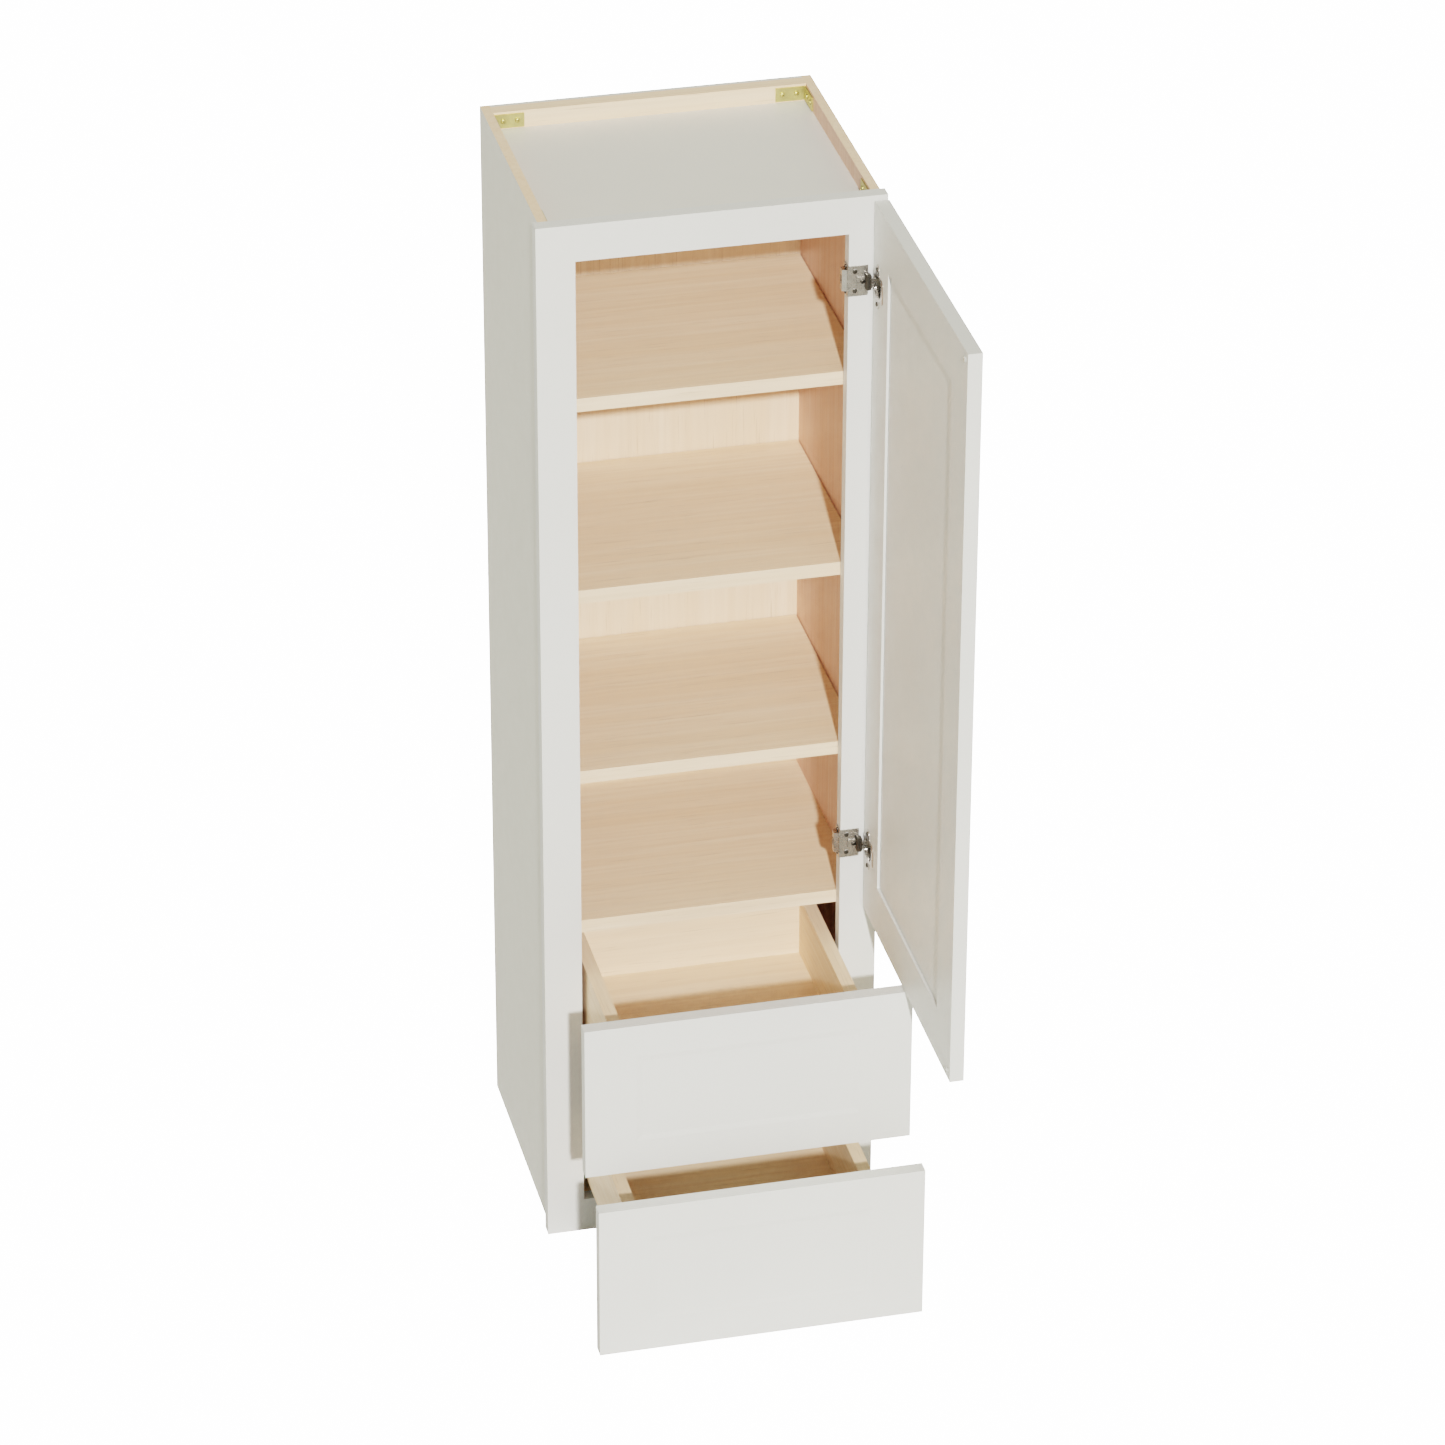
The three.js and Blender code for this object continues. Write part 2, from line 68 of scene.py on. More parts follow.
NODES = frame["nodes"]
BOXES = {node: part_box(node) for node in NODES}
BODY_OF = {node: body for body, nodes in frame["record"]["behaviour"]["bodies"].items() for node in nodes}
MM = 0.001

# ---------------------------------------------------------------- camera and light

CAMERA_PLACE = Vector((-1.65346, -6.94846, 4.89020))
CAMERA_AZIMUTH = math.radians(13.5187)
CAMERA_ELEVATION = math.radians(29.9402)
CAMERA_ROLL = math.radians(0.2161)
CAMERA_LENS = 155.57
SENSOR_WIDTH = 36.0

# Each light: degrees to the left of the cabinet's front, degrees up, spread in degrees, irradiance over pi.
LIGHTS = {
    "key": (7, 28.5, 1.5, (1.25, 1.23, 1.18)),
    "warm_fill": (-85, 5, 120, (0.46, 0.44, 0.25)),
    "left_fill": (80, 25, 60, (0.12, 0.12, 0.07)),
}
SKY_COLOUR = (1.0, 0.97, 0.89)
SKY_STRENGTH = 0.30
# What the camera sees of the studio. It lights nothing.
BACKDROP_GLOW = 12
FLOOR_HALF = 40
FLOOR_ALBEDO = (0.86, 0.86, 0.86)

# ---------------------------------------------------------------- finishes (linear colours)

PAINT_COLOUR = (0.75, 0.75, 0.74)
SIDE_COLOUR = (0.77, 0.755, 0.72)
# Each maple finish has a light and a dark tone. The second, darker and redder maple is painted shade:
# it goes on the side panels' inner faces, where shadow falls beside the shelves.
MAPLE = ((0.95, 0.745, 0.555), (0.86, 0.635, 0.445))
MAPLE_SHADED_WALL = ((0.83, 0.56, 0.45), (0.76, 0.48, 0.37))
NICKEL_COLOUR = (0.55, 0.53, 0.50)
# Near-black nickel for the hinge links, their cover and screws: partly dark metal, partly painted shade of
# the linkage and its slots.
DARK_NICKEL_AND_SHADE_COLOUR = (0.13, 0.12, 0.105)
ZINC_COLOUR = (0.62, 0.72, 0.56)
YELLOW_ZINC_COLOUR = (0.72, 0.64, 0.30)
PAD_COLOUR = (0.80, 0.80, 0.76)


def lit_from(azimuth, elevation):
    """The direction towards a light, with its azimuth to the left of the cabinet's front."""
    level = math.cos(elevation)
    return Vector((-math.sin(azimuth) * level, -math.cos(azimuth) * level, math.sin(elevation)))


def add_camera():
    data = bpy.data.cameras.new("camera")
    data.lens = CAMERA_LENS
    data.sensor_width = SENSOR_WIDTH
    data.clip_start = 0.1
    data.clip_end = 100
    camera = bpy.data.objects.new("camera", data)
    camera.location = CAMERA_PLACE
    camera.rotation_mode = "QUATERNION"
    level = Euler((math.pi / 2 - CAMERA_ELEVATION, 0, -CAMERA_AZIMUTH)).to_quaternion()
    camera.rotation_quaternion = level @ Quaternion((0, 0, 1), CAMERA_ROLL)
    bpy.context.scene.collection.objects.link(camera)
    bpy.context.scene.camera = camera


def add_lights():
    for name, (azimuth, elevation, spread, colour) in LIGHTS.items():
        sun = bpy.data.lights.new(name, "SUN")
        sun.energy = math.pi
        sun.angle = math.radians(spread)
        sun.color = colour
        lamp = bpy.data.objects.new(name, sun)
        lamp.rotation_mode = "QUATERNION"
        towards = lit_from(math.radians(azimuth), math.radians(elevation))
        lamp.rotation_quaternion = towards.to_track_quat("Z", "Y")
        bpy.context.scene.collection.objects.link(lamp)

    world = bpy.data.worlds.new("studio")
    world.use_nodes = True
    nodes = world.node_tree.nodes
    links = world.node_tree.links
    sky = nodes["Background"]
    sky.inputs["Color"].default_value = (*SKY_COLOUR, 1)
    path = nodes.new("ShaderNodeLightPath")
    strength = nodes.new("ShaderNodeMath")
    strength.operation = "MULTIPLY_ADD"
    strength.inputs[1].default_value = BACKDROP_GLOW
    strength.inputs[2].default_value = SKY_STRENGTH
    links.new(path.outputs["Is Camera Ray"], strength.inputs[0])
    links.new(strength.outputs[0], sky.inputs["Strength"])
    bpy.context.scene.world = world
    bpy.context.scene.view_settings.view_transform = "Filmic"
    bpy.context.scene.view_settings.look = "Medium High Contrast"


# ---------------------------------------------------------------- material helpers


class Recipe:
    """A material under construction: add() makes a shader node and wires its inputs."""

    def __init__(self, name):
        self.material = bpy.data.materials.new(name)
        self.material.use_nodes = True
        self.tree = self.material.node_tree
        self.shader = self.tree.nodes["Principled BSDF"]
        coordinates = self.tree.nodes.new("ShaderNodeTexCoord")
        self.place = coordinates.outputs["Object"]

    def add(self, kind, inputs=None, **settings):
        node = self.tree.nodes.new(kind)
        for name, value in settings.items():
            setattr(node, name, value)
        self.wire(node, inputs or {})
        return node

    def wire(self, node, inputs):
        for socket, value in inputs.items():
            if isinstance(value, bpy.types.NodeSocket):
                self.tree.links.new(value, node.inputs[socket])
            else:
                node.inputs[socket].default_value = value

    def noise(self, scale, detail=3.0, stretch=(1, 1, 1), distortion=0.0):
        """A noise from 0 to 1. scale is in features per metre, before each axis is stretched."""
        scales = [scale * share for share in stretch]
        mapped = self.add("ShaderNodeMapping", {"Vector": self.place, "Scale": scales})
        inputs = {"Vector": mapped.outputs[0], "Scale": 1.0, "Detail": detail, "Distortion": distortion}
        return self.add("ShaderNodeTexNoise", inputs).outputs["Fac"]

    def fit(self, value, low, high, out_low=0.0, out_high=1.0):
        """value between low and high, mapped to the range from out_low to out_high."""
        inputs = {"Value": value, 1: low, 2: high, 3: out_low, 4: out_high}
        return self.add("ShaderNodeMapRange", inputs).outputs["Result"]

    def mix(self, amount, first, second):
        node = self.add("ShaderNodeMix", data_type="RGBA")
        self.wire(node, {0: amount, 6: first, 7: second})
        return node.outputs[2]

    def edges(self, radius):
        """1 on edges and corners within this radius, and 0 on flat faces."""
        rounded = self.add("ShaderNodeBevel", {"Radius": radius}, samples=4)
        flat = self.add("ShaderNodeNewGeometry")
        dot = self.add("ShaderNodeVectorMath", operation="DOT_PRODUCT")
        self.wire(dot, {0: rounded.outputs[0], 1: flat.outputs["Normal"]})
        return self.fit(dot.outputs["Value"], 0.99, 0.80)

    def bump(self, height, strength, distance):
        inputs = {"Height": height, "Strength": strength, "Distance": distance}
        return self.add("ShaderNodeBump", inputs).outputs["Normal"]

    def finish(self, colour, roughness, normal, **fixed):
        """Wires the varying inputs of the shader and sets its constant ones."""
        self.wire(self.shader, {"Base Color": colour, "Roughness": roughness, "Normal": normal})
        for name, value in fixed.items():
            self.shader.inputs[name.replace("_", " ").title().replace("Ior", "IOR")].default_value = value
        return self.material


def shade(colour, factor):
    """A linear colour made lighter or darker, with an alpha of 1."""
    return (*[min(channel * factor, 1.0) for channel in colour], 1.0)


# ---------------------------------------------------------------- materials


def painted(name, colour):
    """Sprayed satin paint: a faint orange peel, faint cloudiness and slightly rubbed edges."""
    recipe = Recipe(name)
    cloud = recipe.fit(recipe.noise(5, detail=2), 0.35, 0.65)
    body = recipe.mix(cloud, shade(colour, 0.985), shade(colour, 1.01))
    speck = recipe.fit(recipe.noise(260, detail=4), 0.3, 0.7)
    toned = recipe.mix(recipe.fit(speck, 0, 1, 0, 0.35), body, shade(colour, 0.975))
    rubbed = recipe.mix(recipe.fit(recipe.edges(1.2 * MM), 0, 1, 0, 0.5), toned, shade(colour, 1.06))
    roughness = recipe.fit(recipe.noise(40), 0.3, 0.7, 0.36, 0.48)
    peel = recipe.noise(650, detail=2)
    return recipe.finish(rubbed, roughness, recipe.bump(peel, 0.10, 0.15 * MM), specular_ior_level=0.4)


GRAIN_ALONG = {"x": (0.035, 1, 1), "y": (1, 0.035, 1), "z": (1, 1, 0.035)}


def maple(name, axis, tones):
    """Clear-coated maple veneer with its grain along one axis: soft bands, fine fibres and short flecks."""
    light, dark = tones
    recipe = Recipe(name)
    along = GRAIN_ALONG[axis]
    bands = recipe.fit(recipe.noise(26, detail=2, stretch=along, distortion=0.6), 0.3, 0.7)
    streaks = recipe.fit(recipe.noise(150, detail=4, stretch=along), 0.32, 0.72)
    figure = recipe.mix(bands, shade(light, 1), shade(dark, 1.05))
    streaked = recipe.mix(recipe.fit(streaks, 0, 1, 0, 0.6), figure, shade(dark, 0.93))
    flecks = recipe.fit(recipe.noise(420, detail=2, stretch=along), 0.62, 0.74)
    flecked = recipe.mix(recipe.fit(flecks, 0, 1, 0, 0.55), streaked, shade(dark, 0.72))
    worn = recipe.mix(recipe.fit(recipe.edges(1 * MM), 0, 1, 0, 0.3), flecked, shade(light, 1.05))
    roughness = recipe.fit(streaks, 0, 1, 0.42, 0.56)
    fibres = recipe.noise(900, detail=3, stretch=along)
    return recipe.finish(worn, roughness, recipe.bump(fibres, 0.12, 0.12 * MM), specular_ior_level=0.35)


def plated(name, colour, rough_low, rough_high, tint=0.85):
    """Plated sheet metal: mottled plating, fine rolling marks and brighter edges."""
    recipe = Recipe(name)
    mottle = recipe.fit(recipe.noise(90, detail=4), 0.3, 0.7)
    body = recipe.mix(mottle, shade(colour, tint), shade(colour, 1.05))
    bright = recipe.mix(recipe.fit(recipe.edges(0.5 * MM), 0, 1, 0, 0.6), body, shade(colour, 1.35))
    roughness = recipe.fit(recipe.noise(320, detail=3), 0.3, 0.7, rough_low, rough_high)
    marks = recipe.noise(1400, detail=2, stretch=(1, 0.15, 1))
    return recipe.finish(bright, roughness, recipe.bump(marks, 0.15, 0.05 * MM), metallic=1.0)


def soft_pad():
    """A clear soft plastic button."""
    recipe = Recipe("soft_pad")
    haze = recipe.fit(recipe.noise(300, detail=2), 0.3, 0.7)
    body = recipe.mix(haze, shade(PAD_COLOUR, 0.95), shade(PAD_COLOUR, 1.05))
    roughness = recipe.fit(haze, 0, 1, 0.22, 0.34)
    ripple = recipe.noise(500, detail=2)
    return recipe.finish(
        body, roughness, recipe.bump(ripple, 0.1, 0.1 * MM), transmission_weight=0.35, ior=1.45
    )


def make_materials():
    return {
        "paint": painted("front_paint", PAINT_COLOUR),
        "side": painted("side_finish", SIDE_COLOUR),
        "maple_x": maple("maple_across", "x", MAPLE),
        "maple_y": maple("maple_front_to_back", "y", MAPLE),
        "maple_z": maple("maple_upright", "z", MAPLE),
        # Painted shade: a darker, redder maple for the side panels' inner faces.
        "maple_shaded_wall": maple("maple_side_wall_shade", "z", MAPLE_SHADED_WALL),
        "nickel": plated("nickel_plate", NICKEL_COLOUR, 0.22, 0.38),
        # Partly dark metal, partly painted shade for the hinges' linkage and screw slots.
        "dark_nickel_and_shade": plated("dark_nickel_and_shade", DARK_NICKEL_AND_SHADE_COLOUR, 0.30, 0.45),
        "zinc": plated("bright_zinc", ZINC_COLOUR, 0.28, 0.42),
        "yellow_zinc": plated("yellow_zinc", YELLOW_ZINC_COLOUR, 0.35, 0.5, tint=0.8),
        "pad": soft_pad(),
    }


# ---------------------------------------------------------------- finishing the CAD nodes


def dress(node, default, faces=None):
    """Gives a CAD node its material, and other materials to the faces that look along given directions."""
    mesh = NODES[node].data
    mesh.materials.clear()
    mesh.materials.append(default)
    for direction, material in (faces or {}).items():
        mesh.materials.append(material)
        for face in mesh.polygons:
            if face.normal.dot(Vector(direction)) > 0.9:
                face.material_index = len(mesh.materials) - 1


def touches(point, node, slack=0.1 * MM):
    low, high = BOXES[node]
    return all(low[i] - slack <= point[i] <= high[i] + slack for i in range(3))


def soften(node, radius, joint_share=0.2):
    """Rounds a CAD node's edges. Edges that meet a neighbour on the same body are rounded far less."""
    obj = NODES[node]
    mesh = obj.data
    neighbours = [other for other, body in BODY_OF.items() if body == BODY_OF[node] and other != node]
    weights = mesh.attributes.new("bevel_weight_edge", "FLOAT", "EDGE")
    for edge in mesh.edges:
        a, b = [mesh.vertices[i].co for i in edge.vertices]
        middle = (a + b) / 2
        is_joint = any(touches(middle, other) for other in neighbours)
        weights.data[edge.index].value = joint_share if is_joint else 1.0
    bevel = obj.modifiers.new("rounded_edges", "BEVEL")
    bevel.width = radius
    bevel.segments = 3
    bevel.limit_method = "WEIGHT"
    bevel.harden_normals = False
    for face in mesh.polygons:
        face.use_smooth = True


def round_all(node, radius, segments=2):
    """Rounds every sharp edge of a small metal CAD node."""
    obj = NODES[node]
    bevel = obj.modifiers.new("rounded_edges", "BEVEL")
    bevel.width = radius
    bevel.segments = segments
    bevel.limit_method = "ANGLE"
    bevel.angle_limit = math.radians(35)


def round_leg_ends(node, end_radius, edge_radius):
    """Rounds the free ends of a sheet-metal angle's legs widely and its other sharp edges slightly."""
    obj = NODES[node]
    mesh = obj.data
    sheet = 3 * MM
    weights = mesh.attributes.new("bevel_weight_edge", "FLOAT", "EDGE")
    for edge in mesh.edges:
        a, b = [mesh.vertices[i].co for i in edge.vertices]
        along = b - a
        is_leg_corner = along.length < sheet and abs(along.z) < 0.1 * MM
        weights.data[edge.index].value = 1.0 if is_leg_corner else edge_radius / end_radius
    bevel = obj.modifiers.new("rounded_ends", "BEVEL")
    bevel.width = end_radius
    bevel.segments = 6
    bevel.limit_method = "WEIGHT"


def finish_nodes(looks):
    paint = looks["paint"]
    side = looks["side"]
    for place in ("left", "right"):
        outward = (-1 if place == "left" else 1, 0, 0)
        inward = tuple(-step for step in outward)
        # The inward faces take the darker, redder maple: painted shade on the inner walls.
        dress(f"{place}_side_panel", looks["maple_z"], {outward: side, inward: looks["maple_shaded_wall"]})
        dress(f"frame_{place}_stile", paint)
    dress("frame_top_rail", paint)
    dress("frame_bottom_rail", paint)
    dress("top_panel", looks["maple_y"], {(0, 0, 1): side})
    dress("bottom_panel", looks["maple_x"])
    dress("back_panel", looks["maple_z"], {(0, 1, 0): side, (0, 0, 1): side})
    for board in ("top_hanging_rail", "bottom_hanging_rail", "fixed_deck"):
        dress(board, looks["maple_x"])
    for place in ("lower", "middle", "upper"):
        dress(f"{place}_shelf", looks["maple_x"])
    for piece in ("hinge_stile", "free_stile", "top_rail", "bottom_rail", "panel"):
        dress(f"door_{piece}", paint)
    for place in ("lower", "upper"):
        dress(f"{place}_drawer_front", paint)
        for piece in ("left_side", "right_side"):
            dress(f"{place}_drawer_{piece}", looks["maple_y"])
        for piece in ("box_front", "back", "floor"):
            dress(f"{place}_drawer_{piece}", looks["maple_x"])
        for hand in ("left", "right"):
            for piece in ("rail", "middle", "member"):
                dress(f"{place}_{hand}_slide_{piece}", looks["zinc"])
                round_all(f"{place}_{hand}_slide_{piece}", 0.4 * MM)
        for piece in ("base", "arm"):
            dress(f"{place}_hinge_{piece}", looks["nickel"])
            round_all(f"{place}_hinge_{piece}", 0.35 * MM)
        dress(f"{place}_hinge_cup", looks["nickel"])
        dress(f"{place}_hinge_pin", looks["zinc"])
    for place in ("top", "bottom"):
        dress(f"door_{place}_bumper", looks["pad"])
        round_all(f"door_{place}_bumper", 0.8 * MM, segments=4)
    for end in ("back", "front"):
        for hand in ("left", "right"):
            dress(f"{end}_{hand}_corner_brace", looks["yellow_zinc"])
            round_leg_ends(f"{end}_{hand}_corner_brace", 9 * MM, 0.4 * MM)


def soften_boards():
    """Rounds the edges of every painted piece and every board."""
    painted_radius = 1.0 * MM
    board_radius = 0.6 * MM
    for entry in frame["record"]["subparts"]:
        node = entry["node"]
        if entry["material_slot"] == "painted_front":
            soften(node, painted_radius)
        elif entry["material_slot"] in ("painted_side", "maple"):
            soften(node, board_radius)


# ---------------------------------------------------------------- floor


def add_floor():
    """A pale floor. Its glow shows to the camera and lights nothing."""
    recipe = Recipe("studio_floor")
    cloud = recipe.fit(recipe.noise(0.5), 0.3, 0.7)
    body = recipe.mix(cloud, shade(FLOOR_ALBEDO, 0.99), shade(FLOOR_ALBEDO, 1.0))
    recipe.finish(body, 0.9, recipe.bump(recipe.noise(30), 0.02, 1 * MM), specular_ior_level=0.1)
    seen = recipe.add("ShaderNodeLightPath").outputs["Is Camera Ray"]
    glow = recipe.add("ShaderNodeMath", {0: seen, 1: BACKDROP_GLOW}, operation="MULTIPLY").outputs[0]
    recipe.wire(recipe.shader, {"Emission Color": (1, 1, 1, 1), "Emission Strength": glow})
    mesh = bpy.data.meshes.new("floor")
    signs = [(-1, -1), (1, -1), (1, 1), (-1, 1)]
    corners = [(x * FLOOR_HALF, y * FLOOR_HALF, CAD_BOX[0].z) for x, y in signs]
    mesh.from_pydata(corners, [], [(0, 1, 2, 3)])
    mesh.materials.append(recipe.material)
    floor = bpy.data.objects.new("floor", mesh)
    bpy.context.scene.collection.objects.link(floor)


# ---------------------------------------------------------------- building small fittings


class Place:
    """A spot on the cabinet: an origin, two directions in a surface, and the direction out of it."""

    def __init__(self, origin, across, along):
        self.origin = Vector(origin)
        self.across = Vector(across)
        self.along = Vector(along)
        self.out = self.across.cross(self.along)

    def at(self, a, b, height=0.0):
        return self.origin + self.across * a + self.along * b + self.out * height

    def moved(self, a, b, height=0.0):
        return Place(self.at(a, b, height), self.across, self.along)


def ring(place, reach, height, count=48, centre=(0, 0)):
    """Points round a place at one height. reach is a radius, or a function of the angle."""
    points = []
    for step in range(count):
        angle = 2 * math.pi * step / count
        radius = reach(angle) if callable(reach) else reach
        points.append(
            place.at(centre[0] + radius * math.cos(angle), centre[1] + radius * math.sin(angle), height)
        )
    return points


def skin(name, rings, material, body):
    """One closed piece from a stack of rings of equal counts. The first and last are capped."""
    count = len(rings[0])
    points = [point for layer in rings for point in layer]
    faces = [list(reversed(range(count)))]
    for layer in range(len(rings) - 1):
        start = layer * count
        for step in range(count):
            following = (step + 1) % count
            faces.append((start + step, start + following, start + count + following, start + count + step))
    faces.append([len(points) - count + step for step in range(count)])
    mesh = bpy.data.meshes.new(name)
    mesh.from_pydata(points, [], faces)
    tidy = bmesh.new()
    tidy.from_mesh(mesh)
    bmesh.ops.recalc_face_normals(tidy, faces=tidy.faces)
    tidy.to_mesh(mesh)
    tidy.free()
    mesh.materials.append(material)
    piece = bpy.data.objects.new(name, mesh)
    bpy.context.scene.collection.objects.link(piece)
    for face in mesh.polygons:
        face.use_smooth = True
    sharp = piece.modifiers.new("crisp", "EDGE_SPLIT")
    sharp.split_angle = math.radians(40)
    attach(piece, body)
    return piece


def rounded_box(half_a, half_b, power=8):
    """The outline of a rectangle with round corners, as a function of the angle."""

    def reach(angle):
        a = abs(math.cos(angle)) / half_a
        b = abs(math.sin(angle)) / half_b
        return (a**power + b**power) ** (-1 / power)

    return reach


def widest(*outlines):
    """The outline round several outlines that share a centre."""
    return lambda angle: max(outline(angle) for outline in outlines)


def grown(outline, amount):
    """An outline moved outwards by this much."""
    return lambda angle: outline(angle) + amount


def round_ended(half_length, radius):
    """A bar along the second direction with round ends."""

    def reach(angle):
        side = abs(math.cos(angle))
        rise = abs(math.sin(angle))
        centre = half_length - radius
        if side * centre <= radius * rise:
            return centre * rise + math.sqrt(max(radius**2 - (centre * side) ** 2, 0))
        return radius / side

    return reach


def lopsided(behind, ahead):
    """One outline behind the centre and another ahead of it along the first direction."""
    return lambda angle: ahead(angle) if math.cos(angle) > 0 else behind(angle)


def cross_slot(arm, half):
    """A plus sign: two bars of this half length and half width."""

    def reach(angle):
        side = max(abs(math.cos(angle)), 1e-9)
        rise = max(abs(math.sin(angle)), 1e-9)
        return max(min(arm / side, half / rise), min(half / side, arm / rise))

    return reach


def add_screw(name, place, radius, body, material, height=None):
    """A pan head with a cross recess, its edge on the surface."""
    rise = radius * 0.55 if height is None else height
    slot = cross_slot(radius * 0.55, radius * 0.13)
    layers = [
        ring(place, radius * 0.4, -radius * 0.5),
        ring(place, radius * 0.55, -radius * 0.1),
        ring(place, radius * 0.98, 0),
        ring(place, radius, rise * 0.25),
        ring(place, radius * 0.93, rise * 0.65),
        ring(place, radius * 0.72, rise * 0.95),
        ring(place, slot, rise),
        ring(place, lambda angle: slot(angle) * 0.72, rise * 0.1),
    ]
    return skin(name, layers, material, body)


# ---------------------------------------------------------------- fittings

SHELVES = ("lower", "middle", "upper")
SIDES = {"left": -1, "right": 1}


def half_moon(radius, share):
    """A circle whose lower half is drawn in to this share of its radius."""
    return lambda angle: radius * (1 if math.sin(angle) >= 0 else share)


def add_shelf_pins(looks):
    """Four pins under each shelf: a peg in the side panel and a flat spoon under the board."""
    peg_radius = 2.5 * MM
    peg_depth = 8 * MM
    spoon_reach = 7 * MM
    spoon_half = 4.5 * MM
    collar = 1.1 * MM
    for shelf in SHELVES:
        low, high = BOXES[f"{shelf}_shelf"]
        depths = {"front": low.y + 45 * MM, "back": high.y - 45 * MM}
        for hand, sign in SIDES.items():
            wall = BOXES["right_side_panel"][0].x * sign
            for end, y in depths.items():
                place = Place((wall, y, low.z - spoon_half), (0, sign, 0), (0, 0, 1))
                layers = [
                    ring(place, peg_radius, peg_depth, 24),
                    ring(place, peg_radius, 0.1 * MM, 24),
                    ring(place, spoon_half, 0, 24),
                    ring(place, spoon_half, -collar, 24),
                    ring(place, half_moon(spoon_half, 0.55), -collar, 24),
                    ring(place, half_moon(spoon_half * 0.995, 0.5), -spoon_reach, 24),
                ]
                skin(f"{shelf}_shelf_pin_{end}_{hand}", layers, looks["nickel"], "carcass")


def add_brace_screws(looks):
    """Two screws through each leg of the four corner braces."""
    sheet = 2 * MM
    screw_radius = 3.4 * MM
    holes = (13 * MM, 32 * MM)
    for end, inward in (("back", -1), ("front", 1)):
        for hand, sign in SIDES.items():
            node = f"{end}_{hand}_corner_brace"
            low, high = BOXES[node]
            corner_x = high.x if sign > 0 else low.x
            corner_y = high.y if inward < 0 else low.y
            corner = (corner_x, corner_y, (low.z + high.z) / 2)
            along_wall = Vector((-sign, 0, 0))
            along_side = Vector((0, inward, 0))
            for leg, across, out in (("wall", along_wall, along_side), ("side", along_side, along_wall)):
                turn = across.cross(Vector((0, 0, 1))).dot(out)
                place = Place(corner, across, (0, 0, turn))
                for index, away in enumerate(holes, start=1):
                    screw = f"{node}_{leg}_screw_{index}"
                    spot = place.moved(away, 0, sheet)
                    add_screw(screw, spot, screw_radius, "carcass", looks["yellow_zinc"])


# ---------------------------------------------------------------- hinges

ENDS = {"high": 1, "low": -1}

# The base wraps the stile's inner corner. Its screws' places are measured from that corner, and up and
# down from the hinge's middle.
BASE_SHEET = 1.8 * MM
EDGE_SCREW_BACK = 8.5 * MM
EDGE_SCREW_SPREAD = 18 * MM
EDGE_SCREW_RADIUS = 2.6 * MM
LEAF_SCREW_ACROSS = 8 * MM
LEAF_SCREW_SPREAD = 13.5 * MM
LEAF_SCREW_RADIUS = 3.1 * MM
# Low heads, because the door's back passes close over them.
LEAF_SCREW_HEIGHT = 0.45 * MM

# The cup's middle is measured from the door's hinge edge.
CUP_MIDDLE = 20.2 * MM
CUP_HALF_LENGTH = 17.1 * MM
CUP_HALF_WIDTH = 14 * MM
CUP_WALL = 0.7 * MM
# The cup's screws sit just past the ends of the base's front leaf, which they pass when the door shuts.
CUP_SCREW_SPREAD = 24.6 * MM
CUP_SCREW_RADIUS = 3 * MM
CUP_SCREW_HEIGHT = 1.5 * MM

# How far the fixed link cover and the adjuster lie to the left of the pin, and behind it.
COVER_LEFT = 14.4 * MM
COVER_BEHIND = 6.6 * MM
ADJUSTER_LEFT = 21.25 * MM
ADJUSTER_BEHIND = 5.1 * MM
ADJUSTER_RADIUS = 3.1 * MM


def add_cup(name, place, depth, proud, material):
    """The stamped cup in the door: a round-cornered well in a plate with two screw ears."""
    ears = round_ended(31 * MM, 8 * MM)
    near = widest(rounded_box(20 * MM, 18 * MM, 7), ears)
    far = widest(rounded_box(27 * MM, 18 * MM, 5), ears)
    plate = lopsided(near, far)
    well = rounded_box(CUP_HALF_LENGTH, CUP_HALF_WIDTH, 2.6)
    shell = rounded_box(CUP_HALF_LENGTH + CUP_WALL, CUP_HALF_WIDTH + CUP_WALL, 2.6)
    profile = [
        (grown(shell, -2 * MM), -depth),
        (shell, -depth + 1.5 * MM),
        (shell, 0),
        (plate, 0),
        (plate, proud * 0.6),
        (grown(plate, -0.4 * MM), proud),
        (grown(well, 1.2 * MM), proud),
        (grown(well, 0.3 * MM), proud * 0.7),
        (well, -0.4 * MM),
        (well, -depth + CUP_WALL + 2 * MM),
        (grown(well, -2 * MM), -depth + CUP_WALL),
    ]
    layers = [ring(place, outline, height, 96) for outline, height in profile]
    cup = skin(f"{name}_cup_shell", layers, material, "door")
    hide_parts(f"{name}_cup")


def add_cup_screws(name, place, proud, material):
    for end, sign in ENDS.items():
        spot = place.moved(0, sign * CUP_SCREW_SPREAD, proud)
        screw = f"{name}_cup_screw_{end}"
        add_screw(screw, spot, CUP_SCREW_RADIUS, "door", material, CUP_SCREW_HEIGHT)


def add_knuckles(name, pin, material):
    """The rolled eyes of the cup's links, above and below the fixed arm's eye on the same pin."""
    radius = 3.1 * MM
    soft = 0.4 * MM
    for end, sign in ENDS.items():
        place = Place(pin, (1, 0, 0), (0, sign, 0))
        layers = [
            ring(place, radius - soft, 6.6 * MM, 24),
            ring(place, radius, 7 * MM, 24),
            ring(place, radius, 12 * MM, 24),
            ring(place, radius - soft, 12.4 * MM, 24),
        ]
        skin(f"{name}_knuckle_{end}", layers, material, "door")


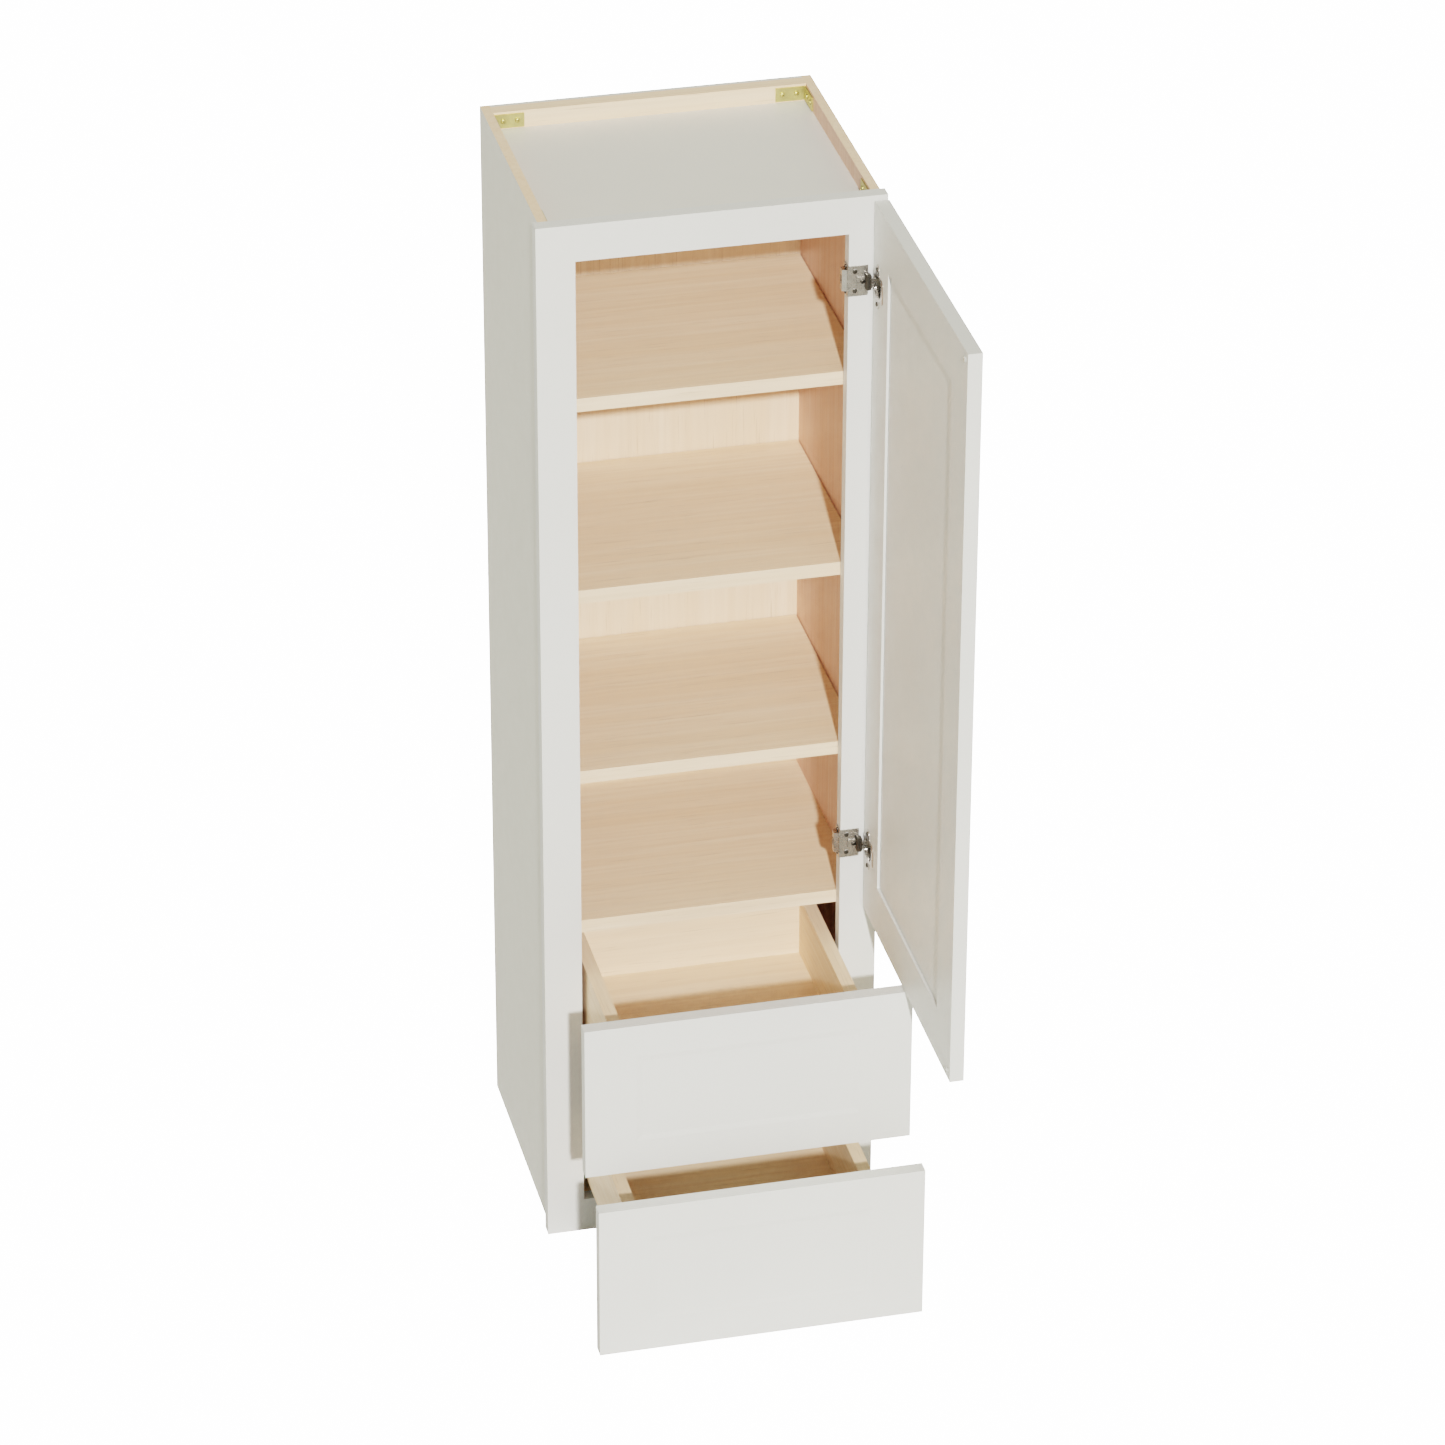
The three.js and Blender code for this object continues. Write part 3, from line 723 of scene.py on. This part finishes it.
def add_link_cover(name, pin, material):
    """The grooved cover over the fixed links, and the depth adjuster beside it."""
    place = Place(pin, (1, 0, 0), (0, 0, 1))
    foot = place.moved(-COVER_LEFT, 0, -COVER_BEHIND)
    outline = rounded_box(4 * MM, 11 * MM, 5)
    crown = rounded_box(3.1 * MM, 10 * MM, 5)
    groove = rounded_box(1.1 * MM, 8.5 * MM, 6)
    layers = [
        ring(foot, outline, 0, 64),
        ring(foot, outline, 7 * MM, 64),
        ring(foot, crown, 8.2 * MM, 64),
        ring(foot, groove, 8.2 * MM, 64),
        ring(foot, groove, 6.8 * MM, 64),
    ]
    skin(f"{name}_link_cover", layers, material, "carcass")
    adjuster = place.moved(-ADJUSTER_LEFT, 0, -ADJUSTER_BEHIND)
    add_screw(f"{name}_adjuster", adjuster, ADJUSTER_RADIUS, "carcass", material)


def add_base_screws(name, z, material):
    """Two screws in the leaf on the stile's edge, and two flat ones in the slots of its front leaf."""
    stile = BOXES["frame_right_stile"][0]
    edge = Place((stile.x - BASE_SHEET, stile.y + EDGE_SCREW_BACK, z), (0, -1, 0), (0, 0, 1))
    leaf = Place((stile.x + LEAF_SCREW_ACROSS, stile.y - BASE_SHEET, z), (1, 0, 0), (0, 0, 1))
    for end, sign in ENDS.items():
        spot = edge.moved(0, sign * EDGE_SCREW_SPREAD)
        screw = f"{name}_edge_screw_{end}"
        add_screw(screw, spot, EDGE_SCREW_RADIUS, "carcass", material)
        spot = leaf.moved(0, sign * LEAF_SCREW_SPREAD)
        screw = f"{name}_front_screw_{end}"
        add_screw(screw, spot, LEAF_SCREW_RADIUS, "carcass", material, LEAF_SCREW_HEIGHT)


def add_hinge_parts(looks):
    """Each hinge's cup, the cover and eyes of its links, and its screws."""
    # The links' cover and eyes and the hinges' screws get the near-black nickel: partly dark metal, partly
    # painted shade.
    dark = looks["dark_nickel_and_shade"]
    face_low, face_high = BOXES["door_hinge_stile"]
    for name in ("upper_hinge", "lower_hinge"):
        pin_low, pin_high = BOXES[f"{name}_pin"]
        cup_low, cup_high = BOXES[f"{name}_cup"]
        pin = (pin_low + pin_high) / 2
        proud = face_low.x - cup_low.x
        place = Place((face_low.x, face_high.y - CUP_MIDDLE, pin.z), (0, -1, 0), (0, 0, 1))
        add_cup(name, place, cup_high.x - face_low.x, proud, looks["nickel"])
        add_knuckles(name, pin, dark)
        add_link_cover(name, pin, dark)
        add_base_screws(name, pin.z, dark)
        add_cup_screws(name, place, proud, dark)


add_camera()
add_lights()
materials = make_materials()
finish_nodes(materials)
soften_boards()
add_shelf_pins(materials)
add_brace_screws(materials)
add_hinge_parts(materials)
add_floor()
